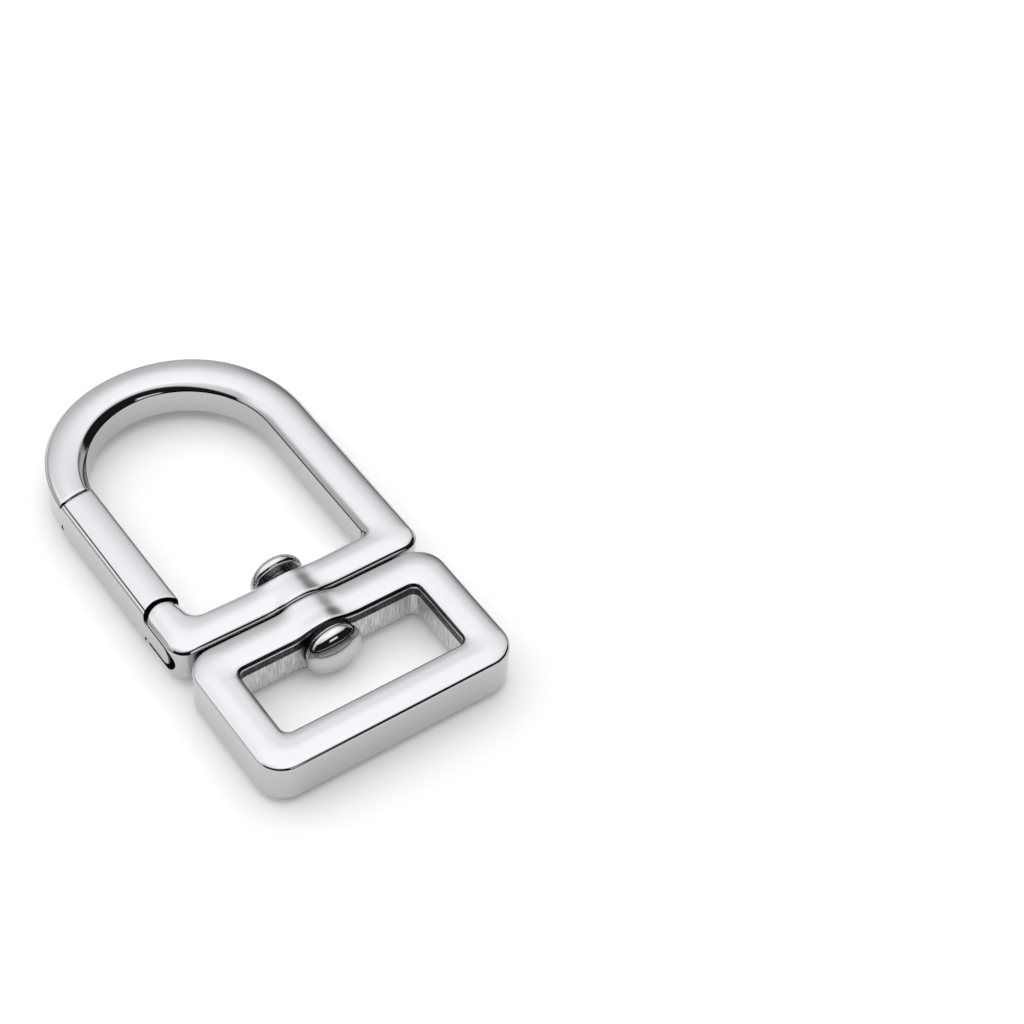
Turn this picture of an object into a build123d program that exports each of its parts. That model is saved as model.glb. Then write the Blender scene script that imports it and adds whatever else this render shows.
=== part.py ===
# Swivel clasp for a handbag strap: a cast D hook with a sprung gate, and a strap loop
# that turns on a headed rivet.
# Millimetres. The clasp lies flat: X across the strap, Y along the clasp towards the
# hook, Z up. The origin is under the middle of the clasp, on the surface it lies on.
from build123d import *
import math
import os

# Strap loop: the slot takes a strap of strap_width
strap_width = 20.0
slot_depth = 8.4
loop_bar = 3.9
loop_thickness = 5.2
loop_corner_radius = 3.0
slot_corner_radius = 1.0
slot_draft_height = 1.3
slot_draft_angle = 5.0

# Hook: a half round on straight sides, closed by the cross bar, as wide as the loop
hook_bar = 4.3
bow_bar = 4.25
hook_thickness = 4.6
cross_bar = 4.0
hook_side = 22.3
hook_corner_radius = 2.0
eye_corner_radius = 1.0
eye_bevel = 0.75
eye_bevel_angle = 45.0

# Crowned faces and broken rims of both castings
crown_radius = 8.0
crown_margin = 0.1
rim_bevel = 0.3
rim_bevel_angle = 45.0

# Swivel: the bosses swell out of both bars round the rivet
swivel_gap = 0.5
boss_rise = 0.45
boss_flare = 1.2
boss_step = 0.15
boss_pad = 0.5
boss_rim = 0.25

# Rivet: its grip leaves end float beside the hook
shank_diameter = 3.0
head_diameter = 6.0
head_back_bevel = 0.35
head_rim = 0.3
head_dome = 1.3
rivet_float = 0.6
rivet_set_clearance = 0.02
swivel_clearance = 0.06

# Gate and its hinge in the post
gate_width = 3.8
nose_rise = 0.7
nose_gap = 0.2
gate_tip_bevel = 0.35
hinge_height = 4.5
post_end_radius = 2.2
shoulder_gap = 0.5
post_corner_radius = 1.5
tongue_thickness = 2.4
tongue_tail = 2.8
tongue_clearance = 0.1
tail_clearance = 0.75
hinge_relief = 0.2

# Hinge pin, ground just below the crown
pin_diameter = 1.4
pin_recess = 0.1
pin_running_clearance = 0.04
pin_set_clearance = 0.01

# Gate spring: a torsion coil on the pin, one leg on the gate and one in the frame
spring_wire = 0.32
spring_pitch = 0.34
spring_turns = 2
spring_pin_clearance = 0.05
spring_window_clearance = 0.06
spring_gate_leg = 2.6
spring_frame_leg = 4.0
spring_frame_leg_angle = -22.0
spring_hole_clearance = 0.08
spring_hole_run_on = 0.2
spring_steps_per_turn = 12
spring_wire_sides = 6

# Cuts reach this far past what they cut
overrun = 2.0

# Places that follow from the sizes
loop_length = strap_width + 2 * loop_bar
loop_depth = slot_depth + 2 * loop_bar
hook_width = loop_length
hook_radius = hook_width / 2
overall_length = loop_depth + swivel_gap + hook_side + hook_radius
boss_radius = loop_thickness / 2 + boss_rise
axis_z = boss_radius
loop_y = loop_depth / 2 - overall_length / 2
loop_top_y = loop_y + loop_depth / 2
hook_y = loop_top_y + swivel_gap
arc_y = hook_y + hook_side
bar_x = hook_radius - hook_bar / 2
crown_reach = max(loop_bar, hook_bar, cross_bar) / 2 + crown_margin
nose_y = arc_y + nose_rise
gate_tip_y = nose_y - nose_gap
gate_inner_x = gate_width - hook_radius
eye_right_x = hook_radius - hook_bar
eye_radius = (eye_right_x - gate_inner_x) / 2
eye_x = eye_right_x - eye_radius
eye_arc_y = arc_y + hook_radius - bow_bar - eye_radius
pin_x = gate_width / 2 - hook_radius
pin_y = hook_y + hinge_height
shoulder_radius = post_end_radius + shoulder_gap
tail_y = pin_y - tongue_tail
slot_half = tongue_thickness / 2 + tongue_clearance
coil_radius = (pin_diameter + spring_wire) / 2 + spring_pin_clearance
coil_turned = 360 * spring_turns + 90 + spring_frame_leg_angle
coil_height = spring_pitch * coil_turned / 360
leg_slope = spring_pitch / (2 * math.pi * coil_radius)
window_half = (coil_height + spring_wire) / 2 + spring_gate_leg * leg_slope + spring_window_clearance


# A plate of the outline, centred on the clasp's middle plane
def plate(outline, thickness):
    return extrude(Plane.XY.offset(axis_z) * outline, thickness / 2, both=True)


# Fall of a crowned face at a distance from its ridge
def crown_drop(reach):
    return crown_radius - math.sqrt(crown_radius ** 2 - reach ** 2)


# Section of a bar whose two faces are crowned, from the inner reach to the outer one
def crown_section(thickness, inner, outer):
    ridge = thickness / 2
    lines = []
    for side in (1, -1):
        start = (-inner, side * (ridge - crown_drop(inner)))
        end = (outer, side * (ridge - crown_drop(outer)))
        lines.append(ThreePointArc(start, (0, side * ridge), end))
    lines.append(Line(lines[0] @ 0, lines[1] @ 0))
    lines.append(Line(lines[0] @ 1, lines[1] @ 1))
    return make_face(lines)


# That section across the start of a path that has the inner side on its left
def section_across(path, thickness):
    start = Plane(path @ 0, x_dir=(path % 0).cross(Vector(0, 0, 1)), z_dir=path % 0)
    return start * crown_section(thickness, crown_reach, crown_reach)


# Crowned bars along a path with square corners
def crowned_bars(path, thickness):
    return sweep(section_across(path, thickness), path=path, transition=Transition.RIGHT)


# Casting with crowned bars round the edge of a web, inside an outline with broken rims
def casting(outline, bars, ridge, thickness, bar):
    web = extrude(ridge, thickness / 2 - crown_drop(crown_reach), both=True)
    return bevelled_plate(outline, thickness / 2 - crown_drop(bar / 2) - rim_bevel) & (bars + web)


# Plate whose walls lean in above and below a half height, to break the rims
def bevelled_plate(outline, half):
    solid = plate(outline, 2 * half)
    for side in (1, -1):
        shoulder = Plane.XY.offset(axis_z + side * half) * outline
        solid += extrude(shoulder, side * 2 * rim_bevel, taper=rim_bevel_angle)
    return solid


# Swelling of a bar round the rivet, from one y to the other, as wide as its flares
def swivel_boss(thickness, y_from, y_to):
    skirt = thickness / 2 - crown_drop(crown_reach) - rim_bevel
    flare_x = math.sqrt((boss_radius + boss_flare) ** 2 - (skirt + boss_flare) ** 2)
    lean = math.degrees(math.atan2(skirt + boss_flare, flare_x))
    lines = []
    for side in (1, -1):
        flare_z = side * (skirt + boss_flare)
        lines.append(CenterArc((0, 0), boss_radius, side * lean, side * (180 - 2 * lean)))
        lines.append(CenterArc((flare_x, flare_z), boss_flare, 180 + side * lean, side * (90 - lean)))
        lines.append(CenterArc((-flare_x, flare_z), boss_flare, -side * lean, side * (lean - 90)))
        lines.append(Line((side * flare_x, -skirt), (side * flare_x, skirt)))
    boss = extrude(across_axis(y_from) * make_face(lines), y_to - y_from)
    ends = boss.faces().sort_by(Axis.Y)
    return chamfer(ends[0].edges() + ends[-1].edges(), boss_rim)


# Plane across the swivel axis at a place along it
def across_axis(y):
    return Plane((0, y, axis_z), x_dir=(1, 0, 0), z_dir=(0, 1, 0))


# Round bore along the swivel axis, through a boss
def swivel_bore(diameter, y_from, y_to):
    return extrude(across_axis(y_from - overrun) * Circle(diameter / 2), y_to - y_from + 2 * overrun)


# Upright cylinder about the hinge pin, centred on the middle plane
def about_pin(radius, height):
    return Pos(pin_x, pin_y, axis_z) * Cylinder(radius, height)


# Slab with one round end, from y_end up to y_top, between two places across the clasp
def round_ended_slab(y_end, y_top, half, x_from, x_to):
    round_y = y_end + half
    side = Pos(round_y, axis_z) * Circle(half)
    side += Pos((round_y + y_top) / 2, axis_z) * Rectangle(y_top - round_y, 2 * half)
    return extrude(Plane.YZ.offset(x_from) * side, x_to - x_from)


# Plane outline of the hook without its eye
def hook_outline():
    sides = Pos(0, hook_y + hook_side / 2) * Rectangle(hook_width, hook_side)
    outline = sides + Pos(0, arc_y) * Circle(hook_radius)
    return fillet(outline.vertices().group_by(Axis.Y)[0], hook_corner_radius)


# Plane outline of the eye, a half round on straight sides, out to the gate's inner wall
def eye_outline():
    eye_base = hook_y + cross_bar
    eye = Pos(eye_x, (eye_arc_y + eye_base) / 2) * Rectangle(2 * eye_radius, eye_arc_y - eye_base)
    eye += Pos(eye_x, eye_arc_y) * Circle(eye_radius)
    eye = fillet(eye.vertices().group_by(Axis.Y)[0].sort_by(Axis.X)[0], post_corner_radius)
    return fillet(eye.vertices().group_by(Axis.Y)[0].sort_by(Axis.X)[-1], eye_corner_radius)


# The hook without its eye: bars down the hinge side, along the cross bar, up and round the bow
def hook_blank():
    bar_y = hook_y + cross_bar / 2
    corners = [(-bar_x, arc_y), (-bar_x, bar_y), (bar_x, bar_y), (bar_x, arc_y)]
    legs = Pos(0, 0, axis_z) * Polyline(*corners)
    bow = Pos(0, 0, axis_z) * CenterArc((0, arc_y), bar_x, 0, 180)
    bars = crowned_bars(legs, hook_thickness)
    bars += revolve(section_across(legs, hook_thickness), Axis((0, arc_y, 0), (0, 0, -1)), 180)
    ridge = make_face(legs.edges() + bow.edges())
    return casting(hook_outline(), bars, ridge, hook_thickness, hook_bar)


# Room for the gate between the hinge post's round end and the nose
def gate_room():
    size = (gate_width + 2 * overrun, nose_y - pin_y)
    room = Pos(pin_x, (nose_y + pin_y) / 2) * Rectangle(*size)
    return plate(room - Pos(pin_x, pin_y) * Circle(post_end_radius), hook_thickness + overrun)


# Slot in the hinge post for the gate's tongue, open outwards, with its swing inwards
def tongue_slot():
    slot_end = tail_y - tail_clearance
    slot_back = gate_inner_x + tongue_clearance
    slot = round_ended_slab(slot_end, pin_y + shoulder_radius, slot_half, -hook_radius - overrun, slot_back)
    return slot + about_pin(shoulder_radius + hinge_relief, 2 * slot_half)


# Middle line of the gate spring: the gate's leg, the coil and the frame's leg
def spring_line():
    coil = Helix(spring_pitch, coil_height, coil_radius)
    coil = Pos(pin_x, pin_y, axis_z - coil_height / 2) * Rot(0, 0, 180) * coil
    gate_leg = Line(coil @ 0 - coil % 0 * spring_gate_leg, coil @ 0)
    frame_leg = Line(coil @ 1, coil @ 1 + coil % 1 * spring_frame_leg)
    return [gate_leg, coil, frame_leg]


# Hole in the cross bar for the spring's frame leg
def spring_hole():
    leg = spring_line()[-1]
    radius = spring_wire / 2 + spring_hole_clearance
    return extrude(Plane(leg @ 0, z_dir=leg % 0) * Circle(radius), spring_frame_leg + spring_hole_run_on)


def make_hook_frame():
    hook = hook_blank()
    eye = eye_outline()
    hook -= plate(eye, hook_thickness + overrun)
    bevel_z = hook_thickness / 2 - crown_drop(hook_bar / 2) - eye_bevel
    for side in (1, -1):
        mouth = Plane.XY.offset(axis_z + side * bevel_z) * eye
        hook -= extrude(mouth, side * (eye_bevel + rim_bevel), taper=-eye_bevel_angle)
    hook -= gate_room()
    hook -= tongue_slot()
    hook -= about_pin(pin_diameter / 2 + pin_set_clearance, hook_thickness + overrun)
    hook -= spring_hole()
    boss_from = hook_y - boss_step
    boss_to = hook_y + cross_bar + boss_step
    hook += swivel_boss(hook_thickness, boss_from, boss_to)
    return hook - swivel_bore(shank_diameter + 2 * swivel_clearance, boss_from, boss_to)


# Room in the tongue for the coil and the swing of the frame's leg, and for the gate's leg
def spring_window():
    reach = coil_radius + spring_wire / 2 + spring_window_clearance
    lean = math.radians(spring_frame_leg_angle)
    inner = gate_width / 2 + overrun
    floor = [(x, (math.sin(lean) * x - reach) / math.cos(lean)) for x in (-reach, inner)]
    coil_room = make_face(Polyline(*floor, (inner, reach), (-reach, reach), close=True))
    leg_width = spring_wire + 2 * spring_window_clearance
    leg_end = spring_gate_leg + spring_window_clearance
    leg_room = Pos(leg_width / 2 - reach, leg_end / 2) * Rectangle(leg_width, leg_end)
    return plate(Pos(pin_x, pin_y) * (coil_room + leg_room), 2 * window_half)


def make_gate():
    section = crown_section(hook_thickness, gate_width / 2, gate_width / 2)
    foot = Plane((pin_x, pin_y, axis_z), x_dir=(1, 0, 0), z_dir=(0, 1, 0))
    gate = extrude(foot * section, gate_tip_y - pin_y)
    gate = chamfer(gate.edges().filter_by(Axis.Y), rim_bevel)
    tip = gate.faces().sort_by(Axis.Y)[-1]
    tip_edges = tip.edges().filter_by(GeomType.CIRCLE)
    gate = chamfer(tip_edges, gate_tip_bevel)
    gate -= about_pin(shoulder_radius, hook_thickness + overrun)
    root_y = pin_y + shoulder_radius + shoulder_gap
    gate += round_ended_slab(tail_y, root_y, tongue_thickness / 2, -hook_radius, gate_inner_x)
    gate -= spring_window()
    return gate - about_pin(pin_diameter / 2 + pin_running_clearance, hook_thickness + overrun)


def make_gate_hinge_pin():
    return about_pin(pin_diameter / 2, hook_thickness - 2 * pin_recess)


# The wire as short straight runs from section to section, so that its facets stay few
def make_gate_spring():
    gate_leg, coil, frame_leg = spring_line()
    steps = round(spring_steps_per_turn * coil_turned / 360)
    spots = [gate_leg @ 0]
    spots += [coil @ (step / steps) for step in range(steps + 1)]
    spots.append(frame_leg @ 1)
    sections = []
    for before, spot, after in zip(spots[:1] + spots, spots, spots[1:] + spots[-1:]):
        across = Plane(spot, x_dir=(0, 0, 1), z_dir=after - before)
        sections.append(across * RegularPolygon(spring_wire / 2, spring_wire_sides))
    return loft(sections, ruled=True)


def make_strap_loop():
    place = Pos(0, loop_y)
    outline = place * RectangleRounded(loop_length, loop_depth, loop_corner_radius)
    slot = place * RectangleRounded(strap_width, slot_depth, slot_corner_radius)
    ridge = Pos(0, loop_y, axis_z) * Rectangle(strap_width + loop_bar, slot_depth + loop_bar)
    bars = crowned_bars(ridge.wires()[0], loop_thickness)
    loop = casting(outline, bars, ridge, loop_thickness, loop_bar)
    loop -= plate(slot, loop_thickness + overrun)
    parting = loop_thickness / 2 - slot_draft_height
    for side in (1, -1):
        mouth = Plane.XY.offset(axis_z + side * parting) * slot
        loop -= extrude(mouth, side * (slot_draft_height + rim_bevel), taper=-slot_draft_angle)
    boss_from = loop_top_y - loop_bar - boss_pad
    boss_to = loop_top_y + boss_step
    loop += swivel_boss(loop_thickness, boss_from, boss_to)
    return loop - swivel_bore(shank_diameter + 2 * rivet_set_clearance, boss_from, boss_to)


# Half outline of a rivet head from its back to its dome's top; side is the way it faces along Y
def head_lines(back_y, side):
    radius = head_diameter / 2
    dome = (radius ** 2 + head_dome ** 2) / (2 * head_dome)
    spread = math.degrees(math.asin(radius / dome))
    edge_y = back_y + side * head_back_bevel
    rim_y = edge_y + side * head_rim
    top_y = rim_y + side * head_dome
    arc = CenterArc((0, top_y - side * dome), dome, side * 90, -side * spread)
    edge = (radius - head_back_bevel, back_y)
    back = Polyline((shank_diameter / 2, back_y), edge, (radius, edge_y), (radius, rim_y))
    return [arc, back]


def make_swivel_rivet():
    slot_back = loop_top_y - loop_bar - boss_pad - rivet_set_clearance
    eye_back = hook_y + cross_bar + boss_step + rivet_float
    lines = head_lines(slot_back, -1) + head_lines(eye_back, 1)
    lines.append(Line((shank_diameter / 2, slot_back), (shank_diameter / 2, eye_back)))
    lines.append(Line(lines[0] @ 0, lines[2] @ 0))
    half = make_face(lines)
    return revolve(Pos(0, 0, axis_z) * half, Axis((0, 0, axis_z), (0, 1, 0)))


pieces = {
    "hook_frame": make_hook_frame,
    "gate": make_gate,
    "gate_hinge_pin": make_gate_hinge_pin,
    "gate_spring": make_gate_spring,
    "strap_loop": make_strap_loop,
    "swivel_rivet": make_swivel_rivet,
}

os.makedirs("parts", exist_ok=True)
for name, make in pieces.items():
    export_step(make(), f"parts/{name}.step")
    print("wrote", name)
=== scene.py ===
import math
import bmesh
import bpy
import numpy as np
from mathutils import Matrix, Vector


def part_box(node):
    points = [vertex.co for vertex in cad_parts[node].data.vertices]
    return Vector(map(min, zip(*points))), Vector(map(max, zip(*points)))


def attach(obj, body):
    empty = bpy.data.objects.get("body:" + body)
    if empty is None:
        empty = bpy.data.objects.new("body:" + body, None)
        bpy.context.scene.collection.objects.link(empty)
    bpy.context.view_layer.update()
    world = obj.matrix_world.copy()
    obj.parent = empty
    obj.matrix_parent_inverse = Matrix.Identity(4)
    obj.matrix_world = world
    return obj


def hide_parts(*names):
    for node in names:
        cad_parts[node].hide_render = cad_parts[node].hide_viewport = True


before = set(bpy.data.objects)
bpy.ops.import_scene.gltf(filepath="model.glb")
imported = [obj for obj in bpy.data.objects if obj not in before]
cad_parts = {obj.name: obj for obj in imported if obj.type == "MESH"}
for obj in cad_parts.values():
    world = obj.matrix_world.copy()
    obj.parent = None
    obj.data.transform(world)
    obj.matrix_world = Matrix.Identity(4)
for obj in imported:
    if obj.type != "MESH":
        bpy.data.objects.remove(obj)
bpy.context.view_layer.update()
print("stage: frame loaded")

# Lengths below are millimetres in the part's own frame
metre = 1000.0


def nodeBox(node):
    low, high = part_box(node)
    return np.array(low) * metre, np.array(high) * metre


hookLow, hookHigh = nodeBox("hook_frame")
loopLow, loopHigh = nodeBox("strap_loop")
gateLow, gateHigh = nodeBox("gate")
rivetLow, rivetHigh = nodeBox("swivel_rivet")
pinLow, pinHigh = nodeBox("gate_hinge_pin")
pinX, pinY, midZ = (pinLow + pinHigh) / 2  # hinge axis, and the clasp's middle plane
bossStep = 0.15  # the swivel bosses face each other this far proud of the bars


# Points along an arc, angles in degrees
def arcPoints(centre, radius, start, end, count):
    angles = np.radians(np.linspace(start, end, count))
    return np.column_stack([centre[0] + radius * np.cos(angles), centre[1] + radius * np.sin(angles)])


# Points along a straight line
def linePoints(start, end, count):
    share = np.linspace(0, 1, count)[:, None]
    return np.array(start) * (1 - share) + np.array(end) * share


# Runs joined end to end, with each shared end kept once
def joinRuns(runs):
    return np.concatenate([runs[0]] + [run[1:] for run in runs[1:]])


# Smooth step from 0 to 1 between two values
def smoothStep(low, high, value):
    share = np.clip((value - low) / (high - low), 0, 1)
    return share * share * (3 - 2 * share)


polishSettings = {
    "waveDetail": 1.0, "waveDepth": 0.00002, "scuffScale": 900.0, "scuffDetail": 4.0,
    "pitCells": 290.0, "pitEdge": (0.02, 0.012),
}


# Group: slow waves and fine scuffs of polished metal, and rare small pits
def makePolishGroup(settings):
    group = bpy.data.node_groups.new("polish", "ShaderNodeTree")
    for name in ("Wave Scale", "Wave Height", "Low", "High"):
        group.interface.new_socket(name, in_out="INPUT", socket_type="NodeSocketFloat")
    group.interface.new_socket("Normal", in_out="OUTPUT", socket_type="NodeSocketVector")
    group.interface.new_socket("Roughness", in_out="OUTPUT", socket_type="NodeSocketFloat")
    group.interface.new_socket("Pits", in_out="OUTPUT", socket_type="NodeSocketFloat")
    nodes, links = group.nodes, group.links
    entry, leave = nodes.new("NodeGroupInput"), nodes.new("NodeGroupOutput")
    place = nodes.new("ShaderNodeTexCoord")
    wave = nodes.new("ShaderNodeTexNoise")
    wave.inputs["Detail"].default_value = settings["waveDetail"]
    links.new(place.outputs["Object"], wave.inputs["Vector"])
    links.new(entry.outputs["Wave Scale"], wave.inputs["Scale"])
    bump = nodes.new("ShaderNodeBump")
    bump.inputs["Distance"].default_value = settings["waveDepth"]
    links.new(entry.outputs["Wave Height"], bump.inputs["Strength"])
    links.new(wave.outputs["Fac"], bump.inputs["Height"])
    links.new(bump.outputs["Normal"], leave.inputs["Normal"])
    scuff = nodes.new("ShaderNodeTexNoise")
    scuff.inputs["Scale"].default_value = settings["scuffScale"]
    scuff.inputs["Detail"].default_value = settings["scuffDetail"]
    links.new(place.outputs["Object"], scuff.inputs["Vector"])
    spread = nodes.new("ShaderNodeMapRange")
    links.new(scuff.outputs["Fac"], spread.inputs["Value"])
    links.new(entry.outputs["Low"], spread.inputs["To Min"])
    links.new(entry.outputs["High"], spread.inputs["To Max"])
    links.new(spread.outputs["Result"], leave.inputs["Roughness"])
    cells = nodes.new("ShaderNodeTexVoronoi")
    cells.inputs["Scale"].default_value = settings["pitCells"]
    links.new(place.outputs["Object"], cells.inputs["Vector"])
    pits = nodes.new("ShaderNodeMapRange")
    pits.inputs["From Min"].default_value = settings["pitEdge"][0]
    pits.inputs["From Max"].default_value = settings["pitEdge"][1]
    links.new(cells.outputs["Distance"], pits.inputs["Value"])
    links.new(pits.outputs["Result"], leave.inputs["Pits"])
    return group


polishGroup = makePolishGroup(polishSettings)


def newMaterial(name):
    material = bpy.data.materials.new(name)
    material.use_nodes = True
    nodes = material.node_tree.nodes
    shader = nodes["Principled BSDF"]
    shader.inputs["Metallic"].default_value = 1.0
    return material, nodes, material.node_tree.links, shader


# Polished plated metal
def metalMaterial(settings):
    material, nodes, links, shader = newMaterial(settings["name"])
    polish = nodes.new("ShaderNodeGroup")
    polish.node_tree = polishGroup
    polish.inputs["Wave Scale"].default_value = settings["waveScale"]
    polish.inputs["Wave Height"].default_value = settings["waveHeight"]
    polish.inputs["Low"].default_value = settings["roughness"][0]
    polish.inputs["High"].default_value = settings["roughness"][1]
    tone = nodes.new("ShaderNodeMix")
    tone.data_type = "RGBA"
    tone.inputs["A"].default_value = (*settings["color"], 1)
    tone.inputs["B"].default_value = (*[c * settings["pitShade"] for c in settings["color"]], 1)
    links.new(polish.outputs["Pits"], tone.inputs["Factor"])
    links.new(tone.outputs["Result"], shader.inputs["Base Color"])
    links.new(polish.outputs["Normal"], shader.inputs["Normal"])
    links.new(polish.outputs["Roughness"], shader.inputs["Roughness"])
    return material


castGrain = {"detail": 5.0, "roughness": 0.65, "toneStops": (0.34, 0.62), "depth": 0.00005}


# Group: grain of metal as cast, which a stretch draws out into streaks
def makeGrainGroup(settings):
    group = bpy.data.node_groups.new("castGrain", "ShaderNodeTree")
    group.interface.new_socket("Stretch", in_out="INPUT", socket_type="NodeSocketVector")
    group.interface.new_socket("Scale", in_out="INPUT", socket_type="NodeSocketFloat")
    group.interface.new_socket("Grain", in_out="OUTPUT", socket_type="NodeSocketFloat")
    nodes, links = group.nodes, group.links
    entry, leave = nodes.new("NodeGroupInput"), nodes.new("NodeGroupOutput")
    place = nodes.new("ShaderNodeTexCoord")
    stretch = nodes.new("ShaderNodeMapping")
    links.new(place.outputs["Object"], stretch.inputs["Vector"])
    links.new(entry.outputs["Stretch"], stretch.inputs["Scale"])
    streak = nodes.new("ShaderNodeTexNoise")
    streak.inputs["Detail"].default_value = settings["detail"]
    streak.inputs["Roughness"].default_value = settings["roughness"]
    links.new(stretch.outputs["Vector"], streak.inputs["Vector"])
    links.new(entry.outputs["Scale"], streak.inputs["Scale"])
    links.new(streak.outputs["Fac"], leave.inputs["Grain"])
    return group


grainGroup = makeGrainGroup(castGrain)


# Streaked or pitted metal as cast
def castMaterial(settings):
    material, nodes, links, shader = newMaterial(settings["name"])
    grain = nodes.new("ShaderNodeGroup")
    grain.node_tree = grainGroup
    grain.inputs["Stretch"].default_value = settings["stretch"]
    grain.inputs["Scale"].default_value = settings["scale"]
    tone = nodes.new("ShaderNodeValToRGB")
    for element, stop, name in zip(tone.color_ramp.elements, castGrain["toneStops"], ("dark", "light")):
        element.position, element.color = stop, (*settings[name], 1)
    links.new(grain.outputs["Grain"], tone.inputs["Fac"])
    links.new(tone.outputs["Color"], shader.inputs["Base Color"])
    shader.inputs["Roughness"].default_value = settings["roughness"]
    bump = nodes.new("ShaderNodeBump")
    bump.inputs["Strength"].default_value = settings["bump"]
    bump.inputs["Distance"].default_value = castGrain["depth"]
    links.new(grain.outputs["Grain"], bump.inputs["Height"])
    links.new(bump.outputs["Normal"], shader.inputs["Normal"])
    return material


turnedRings = {"distortion": 1.5, "detail": 2.0, "depth": 0.00003}


# Turned metal with fine rings about the rivet's axis
def ringMaterial(settings):
    material, nodes, links, shader = newMaterial(settings["name"])
    place = nodes.new("ShaderNodeTexCoord")
    centre = nodes.new("ShaderNodeMapping")
    centre.inputs["Location"].default_value = (0, 0, -midZ / metre)
    links.new(place.outputs["Object"], centre.inputs["Vector"])
    rings = nodes.new("ShaderNodeTexWave")
    rings.wave_type = "RINGS"
    rings.rings_direction = "Y"
    rings.inputs["Scale"].default_value = settings["scale"]
    rings.inputs["Distortion"].default_value = turnedRings["distortion"]
    rings.inputs["Detail"].default_value = turnedRings["detail"]
    links.new(centre.outputs["Vector"], rings.inputs["Vector"])
    tone = nodes.new("ShaderNodeValToRGB")
    tone.color_ramp.elements[0].color = (*settings["dark"], 1)
    tone.color_ramp.elements[1].color = (*settings["light"], 1)
    links.new(rings.outputs["Fac"], tone.inputs["Fac"])
    links.new(tone.outputs["Color"], shader.inputs["Base Color"])
    shader.inputs["Roughness"].default_value = settings["roughness"]
    bump = nodes.new("ShaderNodeBump")
    bump.inputs["Strength"].default_value = settings["bump"]
    bump.inputs["Distance"].default_value = turnedRings["depth"]
    links.new(rings.outputs["Fac"], bump.inputs["Height"])
    links.new(bump.outputs["Normal"], shader.inputs["Normal"])
    return material


platedMetal = metalMaterial({
    "name": "platedMetal", "color": (0.53, 0.526, 0.546), "pitShade": 0.5,
    "waveScale": 230.0, "waveHeight": 0.4, "roughness": (0.03, 0.07),
})
rivetMetal = metalMaterial({
    "name": "rivetMetal", "color": (0.55, 0.545, 0.56), "pitShade": 0.5,
    "waveScale": 500.0, "waveHeight": 0.25, "roughness": (0.03, 0.08),
})
pinMetal = metalMaterial({
    "name": "pinMetal", "color": (0.5, 0.5, 0.5), "pitShade": 0.4,
    "waveScale": 900.0, "waveHeight": 0.3, "roughness": (0.2, 0.32),
})
springMetal = metalMaterial({
    "name": "springMetal", "color": (0.42, 0.42, 0.43), "pitShade": 0.4,
    "waveScale": 900.0, "waveHeight": 0.3, "roughness": (0.22, 0.36),
})
slotWall = castMaterial({
    "name": "slotWall", "stretch": (1.0, 1.0, 0.07), "scale": 8000.0, "roughness": 0.34, "bump": 0.5,
    "dark": (0.36, 0.36, 0.37), "light": (0.78, 0.78, 0.79),
})
# Near-black pitted metal: painted shade for the drafted band, which mirrors the slot's shaded inside; its
# grain is real
draftBandPaintedShade = castMaterial({
    "name": "draftBandPaintedShade", "stretch": (1.0, 1.0, 0.6), "scale": 4200.0, "roughness": 0.3, "bump": 0.6,
    "dark": (0.006, 0.006, 0.006), "light": (0.07, 0.07, 0.073),
})
# Near-black cast metal: painted shade for gaps, hollows and slot faces, where occlusion darkens them
gapShadeMaterial = castMaterial({
    "name": "gapShadeMaterial", "stretch": (1.0, 1.0, 1.0), "scale": 2500.0, "roughness": 0.6, "bump": 0.3,
    "dark": (0.008, 0.008, 0.008), "light": (0.03, 0.03, 0.03),
})
# Dark metal: painted dark lines of reflection along edges and round the tongue's edge
paintedEdgeLineMetal = metalMaterial({
    "name": "paintedEdgeLineMetal", "color": (0.07, 0.07, 0.075), "pitShade": 0.5,
    "waveScale": 230.0, "waveHeight": 0.4, "roughness": (0.1, 0.2),
})
headBack = ringMaterial({
    "name": "headBack", "scale": 1900.0, "roughness": 0.25, "bump": 0.5,
    "dark": (0.03, 0.03, 0.03), "light": (0.4, 0.4, 0.4),
})
# Among these finishes, the drafted band, the gap metal and the edge lines are painted shade
finishesAndPaintedShade = [platedMetal, slotWall, draftBandPaintedShade, gapShadeMaterial, paintedEdgeLineMetal]
polished, roughWall, paintedBandShade, paintedGapShade, paintedDarkLine = range(len(finishesAndPaintedShade))  # their places on a piece
print("stage: finishes made")


# Upper half of a bar's section, from the inner wall's middle over the crown to the outer wall's middle.
# Each point has an offset from the inner wall, a share of the free width, a height, a weight
# that says how far it follows a swelling of the top, and a finish.
def barSection(settings):
    half, drop, width = settings["thickness"] / 2, settings["crownDrop"], settings["width"]

    def crown(offset):
        track = math.exp(-((offset - settings["trackOffset"]) / settings["trackHalf"]) ** 2)
        return half - drop * (2 * offset / width - 1) ** 2 - settings["trackDepth"] * track

    slope = math.atan(4 * drop / width)
    inner = settings["innerEdge"](crown, slope)
    outer = settings["outerEdge"](crown, slope)
    innerRun, outerRun = inner[-1][0], outer[-1][0]
    run = innerRun + outerRun
    points = []
    for offset, height, finish in inner:
        points.append((offset, 0.0, height, height / inner[-1][1], finish))
    for share in np.linspace(0, 1, settings["crownSteps"])[1:-1]:
        points.append((innerRun, share, crown(innerRun + share * (width - run)), 1.0, polished))
    for offset, height, finish in reversed(outer):
        points.append((run - offset, 1.0, height, height / outer[-1][1], finish))
    return {"points": points, "run": run}


# Rows of a flat wall up to a height; the last stays just below it, so that the wall's shading stays flat
def wallRows(height, guard):
    return [(0.0, 0.0, polished), (0.0, height / 2, polished), (0.0, height - guard, polished)]
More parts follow.
